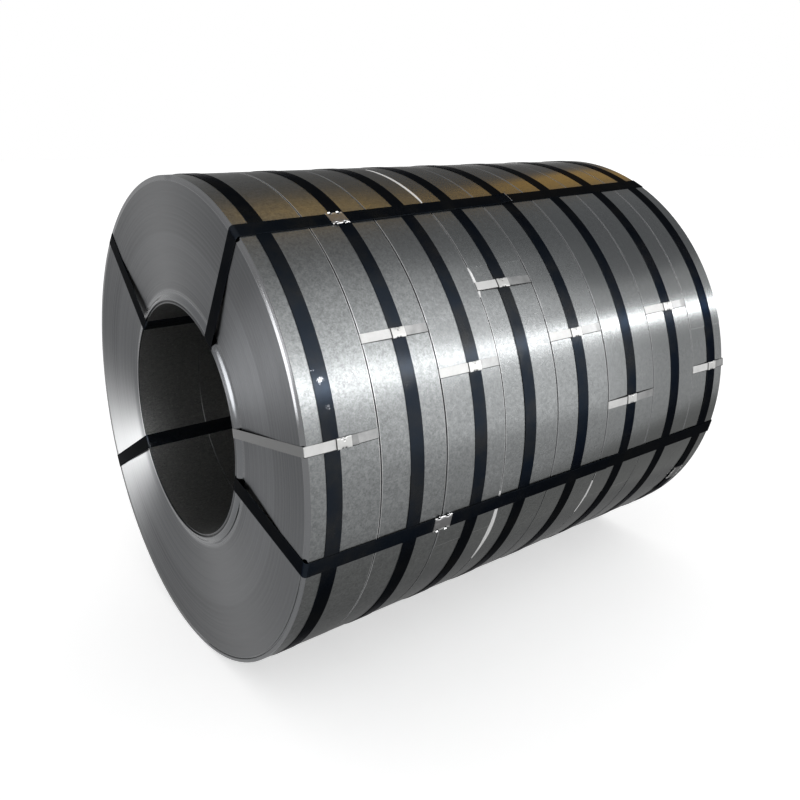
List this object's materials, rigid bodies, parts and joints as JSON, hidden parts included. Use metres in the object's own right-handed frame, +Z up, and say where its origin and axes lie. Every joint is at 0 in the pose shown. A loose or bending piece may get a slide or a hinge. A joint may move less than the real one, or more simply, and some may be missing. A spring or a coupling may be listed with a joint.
{
  "type": "slit steel coil pack",
  "caption": "Pack of narrow slit steel coils lying with the eye to the side, held by steel strapping round each coil and lengthwise through the eye, closed with crimped seals.",
  "frame": {"origin": "on the axis of the eye, at the middle of the pack's length", "axes": "+X along the eye towards the far end, +Z up, -Y towards the front where the ties are"},
  "size_m": [1.2424, 1.0569, 1.0518],
  "materials": {
    "galvanised_strip": "satin zinc coating",
    "black_strap": "black painted and waxed",
    "bright_tie": "bright zinc coating",
    "seal_steel": "bright zinc coating, crimped"
  },
  "bodies": {
    "root": {"slit_coil_1": "galvanised_strip", "slit_coil_2": "galvanised_strip", "slit_coil_3": "galvanised_strip", "slit_coil_4": "galvanised_strip", "slit_coil_5": "galvanised_strip", "slit_coil_6": "galvanised_strip", "slit_coil_7": "galvanised_strip", "slit_coil_8": "galvanised_strip", "hoop_strap_1": "black_strap", "hoop_strap_2": "black_strap", "hoop_strap_3": "black_strap", "hoop_strap_4": "black_strap", "hoop_strap_5": "black_strap", "hoop_strap_6": "black_strap", "hoop_strap_7": "black_strap", "hoop_strap_8": "black_strap", "hoop_seal_1": "seal_steel", "hoop_seal_2": "seal_steel", "hoop_seal_3": "seal_steel", "hoop_seal_4": "seal_steel", "hoop_seal_5": "seal_steel", "hoop_seal_6": "seal_steel", "hoop_seal_7": "seal_steel", "hoop_seal_8": "seal_steel", "tie_1": "bright_tie", "tie_2": "bright_tie", "tie_3": "bright_tie", "tie_4": "bright_tie", "tie_5": "bright_tie", "tie_6": "bright_tie", "tie_7": "bright_tie", "tie_8": "bright_tie", "tie_seal_1": "seal_steel", "tie_seal_2": "seal_steel", "tie_seal_3": "seal_steel", "tie_seal_4": "seal_steel", "tie_seal_5": "seal_steel", "tie_seal_6": "seal_steel", "tie_seal_7": "seal_steel", "tie_seal_8": "seal_steel", "eye_strap_1": "black_strap", "eye_strap_2": "black_strap", "eye_strap_3": "black_strap", "eye_strap_4": "black_strap", "eye_seal_1": "seal_steel", "eye_seal_2": "seal_steel", "eye_seal_3": "seal_steel", "eye_seal_4": "seal_steel"}
  },
  "joints": []
}
